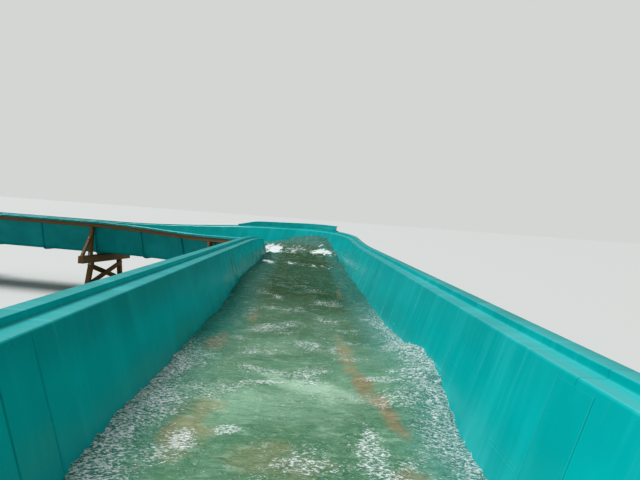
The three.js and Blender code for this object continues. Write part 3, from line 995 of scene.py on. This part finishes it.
GREEN = (0.125, 0.265, 0.155, 1)
GREEN_PALE = (0.235, 0.440, 0.295, 1)
GREEN_REFLECTED = (0.075, 0.190, 0.095, 1)
GREEN_FAR_SHADE = (0.014, 0.050, 0.008, 1)
TEAL_WALL_REFLECTION = (0.130, 0.400, 0.370, 1)
TEAL_WALL_SHADE = (0.032, 0.275, 0.220, 1)
TEAL_WALL_SHADE_FAR = (0.014, 0.125, 0.095, 1)
TAN = (0.350, 0.285, 0.140, 1)
RUST = (0.350, 0.220, 0.115, 1)
SWIRL = (0.480, 0.700, 0.520, 1)
RIPPLE_HIGHLIGHT = (0.460, 0.660, 0.520, 1)
RIPPLE_SHADE = (0.040, 0.130, 0.075, 1)
DARK_BETWEEN_GLINTS = (0.040, 0.155, 0.120, 1)
FOAM_AND_GLINTS = (0.84, 0.88, 0.89, 1)
FAR_SHADE_FROM = (6.2, 9.5)
FAR_SHADE_TO = (21.5, 19.0)
GLINTS_FADE = (8.5, 12.0)
WATER_IOR = 1.33

water, tree, shader, place = new_material("green_water")
parts = split(tree, place)
side = maths(tree, "ABSOLUTE", parts["Y"])
wall_here = plus(tree, times(tree, parts["Z"], WALL_SLOPE), wall_foot)
from_wall = maths(tree, "SUBTRACT", wall_here, side)
ragged = times(tree, mask(tree, patches, Place=place, Size=0.30, Low=0.3, High=0.7), 0.18)
edge_band = mapped(tree, maths(tree, "SUBTRACT", from_wall, ragged), 0.20, 0.0)
facing = node(tree, "ShaderNodeNewGeometry").outputs["Normal"]
on_top = mapped(tree, split(tree, facing)["Z"], 0.2, 0.5)
long_reflections = mask(tree, runs, Place=place, Stretch=(0.8, 3.0, 3.0), Low=0.38, High=0.66, Wander=0.6)
cloudy = mask(tree, patches, Place=place, Size=0.7, Low=0.40, High=0.66)
glint_areas = mask(tree, patches, Place=place, Size=0.38, Low=0.44, High=0.62)
small = mask(tree, runs, Place=place, Stretch=(26.0, 13.0, 1.0), Low=0.2, High=0.8, Wander=0.8)
tiny = mask(tree, runs, Place=place, Stretch=(95.0, 62.0, 1.0), Low=0.2, High=0.8, Wander=1.5)
uneven = mask(tree, patches, Place=place, Size=0.13, Low=0.28, High=0.72)
churn = mask(tree, runs, Place=place, Stretch=(2.2, 7.0, 1.0), Low=0.3, High=0.7, Wander=1.0)


def oval(middle, reach, lean=0.0, ragged_by=0.5):
    """An uneven oval round a place on the water. With a lean it runs askew across the channel."""
    away = node(tree, "ShaderNodeVectorMath", {0: place, 1: (*middle, 0)}, operation="SUBTRACT")
    squares = []
    for axis in ((1 / reach[0], lean / reach[0], 0), (0, 1 / reach[1], 0)):
        sizes = {0: away.outputs["Vector"], 1: axis}
        share = node(tree, "ShaderNodeVectorMath", sizes, operation="DOT_PRODUCT").outputs["Value"]
        squares.append(maths(tree, "POWER", share, 2.0))
    raw = plus(tree, maths(tree, "SQRT", plus(tree, *squares)), times(tree, uneven, ragged_by))
    return mapped(tree, raw, 1.25, 0.75)


far_shade = times(tree, mapped(tree, parts["X"], *FAR_SHADE_FROM), mapped(tree, parts["X"], *FAR_SHADE_TO))
to_right = mapped(tree, parts["Y"], -0.3, 0.4)
wall_reflection = mapped(tree, from_wall, 0.30, 0.02)
calm_from = mapped(tree, to_right, 0.0, 1.0, 6.5, 8.0)
calm = mapped(tree, parts["X"], calm_from, mapped(tree, to_right, 0.0, 1.0, 7.4, 10.0))
wall_shade = times(tree, calm, mapped(tree, from_wall, 0.36, 0.10, 0.0, 0.8))
# Painted reflections: long darker streaks drawn out along the channel over the cloudy green.
colour = tinted(tree, mixed(tree, cloudy, GREEN, GREEN_PALE), long_reflections, 0.55, GREEN_REFLECTED)
# Painted shade and painted reflection: the water darkens farther along, into the bend.
colour = tinted(tree, colour, far_shade, 0.93, GREEN_FAR_SHADE)
# Painted reflection: the water turns teal beside the walls, more on the right-hand side.
colour = tinted(tree, colour, wall_reflection, mapped(tree, to_right, 0.0, 1.0, 0.5, 0.8), TEAL_WALL_REFLECTION)
# Painted shade: darker teal beside the walls farther along, deepest in the bend.
colour = mixed(tree, wall_shade, colour, mixed(tree, far_shade, TEAL_WALL_SHADE, TEAL_WALL_SHADE_FAR))
# Stains that show through: middle, reach, lean, strength, colour
for middle, reach, lean, strength, shade in (
    ((5.46, -0.385), (0.48, 0.13), -0.8, 0.62, TAN),
    ((6.80, 0.28), (0.75, 0.07), 0.5, 0.75, TAN),
    ((6.08, 0.32), (0.34, 0.07), 1.5, 0.70, RUST),
    ((5.72, 0.39), (0.28, 0.07), 2.5, 0.75, RUST),
    ((5.12, 0.40), (0.16, 0.08), 0.0, 0.50, RUST),
    ((5.17, -0.06), (0.24, 0.24), 0.0, 0.35, TAN),
    ((7.00, -0.50), (0.36, 0.10), 0.0, 0.45, RUST),
    ((8.01, -0.37), (0.35, 0.06), 0.0, 0.50, RUST),
    ((9.84, 0.40), (0.45, 0.05), 0.0, 0.45, RUST),
):
    colour = tinted(tree, colour, oval(middle, reach, lean, 0.8), strength, shade)
# A pale swirl: middle, reach, lean, strength
for middle, reach, lean, strength in (
    ((6.03, 0.06), (0.17, 0.26), 0.8, 0.7),
    ((5.75, 0.0), (0.35, 0.45), 0.0, 0.2),
):
    colour = tinted(tree, colour, oval(middle, reach, lean), strength, SWIRL)
# Painted highlight on the ripples' crests and painted shade in their hollows.
colour = tinted(tree, colour, mapped(tree, small, 0.56, 0.76), times(tree, on_top, 0.30), RIPPLE_HIGHLIGHT)
colour = tinted(tree, colour, mapped(tree, small, 0.44, 0.26), times(tree, on_top, 0.35), RIPPLE_SHADE)
# White water: middle, reach, lean, strength
foam = 0.0
for middle, reach, lean, strength in (
    ((15.80, 0.44), (0.75, 0.36), 0.0, 1.0),
    ((18.10, 0.12), (0.85, 0.52), -1.6, 1.0),
    ((12.95, -0.54), (0.40, 0.16), 0.0, 0.9),
    ((13.30, 0.00), (0.40, 0.80), 0.0, 0.5),
    ((17.00, 0.20), (1.60, 0.55), 0.0, 0.45),
):
    foam = maths(tree, "MAXIMUM", foam, times(tree, oval(middle, reach, lean, 0.9), strength))
# Painted glints: white flecks of reflected light, thick along both walls and in patches, fading farther on.
edge_glints = times(tree, edge_band, mapped(tree, calm, 0.0, 1.0, 1.0, 0.12))
open_glints = times(tree, glint_areas, mapped(tree, wall_shade, 0.0, 0.8, 0.9, 0.1))
busy = maths(tree, "MAXIMUM", edge_glints, open_glints)
busy = times(tree, busy, mapped(tree, parts["X"], *GLINTS_FADE, on_top, 0.2))
# Patches of painted glints: middle, reach, lean
for middle, reach, lean in (
    ((7.05, 0.59), (0.14, 0.14), 0.0),
    ((6.64, 0.62), (0.12, 0.14), 0.0),
    ((6.11, 0.42), (0.09, 0.16), 0.2),
    ((6.25, 0.57), (0.09, 0.13), 0.0),
    ((5.28, 0.29), (0.44, 0.13), 0.6),
    ((6.11, -0.15), (0.07, 0.18), 0.0),
    ((5.30, -0.38), (0.17, 0.09), 0.3),
    ((5.42, -0.24), (0.08, 0.07), 0.0),
):
    busy = maths(tree, "MAXIMUM", busy, oval(middle, reach, lean, 0.7))
grain = mask(tree, runs, Place=place, Stretch=(150.0, 70.0, 1.0), Low=0.0, High=1.0, Wander=0.5)
# Painted reflection: darker water in the gaps between the painted glints.
colour = tinted(tree, colour, mapped(tree, grain, 0.48, 0.38), times(tree, busy, 0.45), DARK_BETWEEN_GLINTS)
busy = plus(tree, busy, foam)
glint_low = mapped(tree, busy, 0.0, 2.0, mapped(tree, to_right, 0.0, 1.0, 0.66, 0.71), 0.26)
painted_glints = mapped(tree, grain, glint_low, plus(tree, glint_low, 0.12))
broken = times(tree, foam, mapped(tree, churn, 0.0, 1.0, 0.3, 1.7))
broken = times(tree, broken, mapped(tree, small, 0.35, 0.65, 0.55, 1.35))
# The white is real foam where the water breaks, and painted glints elsewhere.
white = maths(tree, "MAXIMUM", times(tree, painted_glints, 0.95), mapped(tree, broken, 0.50, 0.80))
white = times(tree, white, on_top)
still = mapped(tree, parts["X"], 7.0, 11.0, 0.06, 0.20)
finished(tree, shader, mixed(tree, white, colour, FOAM_AND_GLINTS), mapped(tree, white, 0.0, 1.0, still, 0.55))
shader.inputs["IOR"].default_value = WATER_IOR
ruffles = plus(tree, small, times(tree, tiny, plus(tree, times(tree, edge_band, 0.4), 0.35)))
bumped(tree, shader, times(tree, ruffles, on_top), 0.9, 0.014)
piece("channel_water", [skinned(laid(stations, across, height), marks)], [water])

# The studio
# A plain pale floor under a soft white dome, with one broad soft key light from high on the left.
KEY_WAY = (0.50, -0.30, -0.81)
KEY_STRENGTH = 3.6
KEY_SOFTNESS = math.radians(34)
FLOOR_RADIUS = 1500.0
FLOOR_SIDES = 96
FLOOR_SHADE = (0.53, 0.54, 0.53, 1)
BACKDROP_SHADE = (0.70, 0.71, 0.70, 1)
DOME_LOW = (0.10, 0.115, 0.105, 1)
DOME_HIGH = (0.62, 0.64, 0.64, 1)
DOME_BLEND = (0.12, 0.92)

floor_paint, tree, shader, _ = new_material("studio_floor")
shader.inputs["Base Color"].default_value = FLOOR_SHADE
shader.inputs["Roughness"].default_value = 0.9
floor_mesh = bpy.data.meshes.new("studio_floor")
turns = [math.tau * k / FLOOR_SIDES for k in range(FLOOR_SIDES)]
rim = [(FLOOR_RADIUS * math.cos(turn), FLOOR_RADIUS * math.sin(turn), 0) for turn in turns]
floor_mesh.from_pydata(rim, [], [tuple(range(len(rim)))])
floor_mesh.materials.append(floor_paint)
floor = bpy.data.objects.new("studio_floor", floor_mesh)
bpy.context.scene.collection.objects.link(floor)

key = bpy.data.lights.new("key_light", "SUN")
key.energy = KEY_STRENGTH
key.angle = KEY_SOFTNESS
lamp = bpy.data.objects.new("key_light", key)
lamp.rotation_euler = Vector(KEY_WAY).to_track_quat("-Z", "Y").to_euler()
bpy.context.scene.collection.objects.link(lamp)

dome = bpy.data.worlds.new("studio_dome")
dome.use_nodes = True
tree = dome.node_tree
looking = node(tree, "ShaderNodeTexCoord").outputs["Generated"]
glow = mixed(tree, mapped(tree, split(tree, looking)["Z"], *DOME_BLEND), DOME_LOW, DOME_HIGH)
seen = node(tree, "ShaderNodeLightPath").outputs["Is Camera Ray"]
tree.links.new(mixed(tree, seen, glow, BACKDROP_SHADE), tree.nodes["Background"].inputs["Color"])
bpy.context.scene.world = dome
bpy.context.scene.view_settings.view_transform = "Khronos PBR Neutral"
